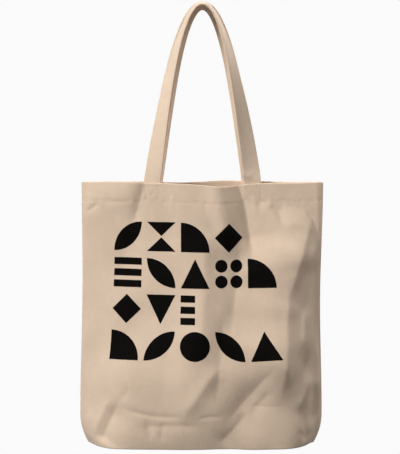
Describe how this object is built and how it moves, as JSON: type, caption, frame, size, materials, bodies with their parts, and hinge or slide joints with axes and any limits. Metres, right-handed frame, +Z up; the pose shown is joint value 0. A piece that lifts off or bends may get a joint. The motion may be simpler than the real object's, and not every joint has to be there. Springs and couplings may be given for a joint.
{
  "type": "tote bag",
  "caption": "Open-topped canvas tote bag with two long fabric handles, side-seamed panels and a boat-shaped bottom panel, shaped as it hangs.",
  "frame": {"origin": "the point under the ridge of the two handles where a hook or hand carries the bag", "axes": "+Z up, +X to the right seen from the front, -Y out of the front panel"},
  "size_m": [0.363, 0.127, 0.6692],
  "materials": {
    "twill": "natural unbleached cotton twill, matte, softly creased",
    "hem_twill": "the same twill, turned in twice and pressed",
    "seam_twill": "trimmed seam allowance of the same twill",
    "strap_twill": "the same twill folded to four plies and pressed flat",
    "thread": "matching cotton sewing thread, slight sheen"
  },
  "bodies": {
    "bag": {"front_panel": "twill", "back_panel": "twill", "bottom_panel": "twill", "front_hem": "hem_twill", "back_hem": "hem_twill", "left_side_seam": "seam_twill", "right_side_seam": "seam_twill", "bottom_front_seam": "seam_twill", "bottom_back_seam": "seam_twill", "front_strap_end_left": "strap_twill", "front_strap_end_right": "strap_twill", "back_strap_end_left": "strap_twill", "back_strap_end_right": "strap_twill", "front_box_stitch_left": "thread", "front_box_stitch_right": "thread", "back_box_stitch_left": "thread", "back_box_stitch_right": "thread", "front_hem_stitch": "thread", "back_hem_stitch": "thread"},
    "front_handle": {"front_handle": "strap_twill", "front_handle_upper_stitch": "thread", "front_handle_lower_stitch": "thread"},
    "back_handle": {"back_handle": "strap_twill", "back_handle_upper_stitch": "thread", "back_handle_lower_stitch": "thread"}
  },
  "joints": [
    {"name": "front_handle_fold", "type": "hinge", "parent": "bag", "child": "front_handle", "pos_m": [0, -0.02446, -0.269], "axis": [1, 0, 0], "range_deg": [0, 165]},
    {"name": "back_handle_fold", "type": "hinge", "parent": "bag", "child": "back_handle", "pos_m": [0, 0.02476, -0.269], "axis": [-1, 0, 0], "range_deg": [0, 165]}
  ]
}
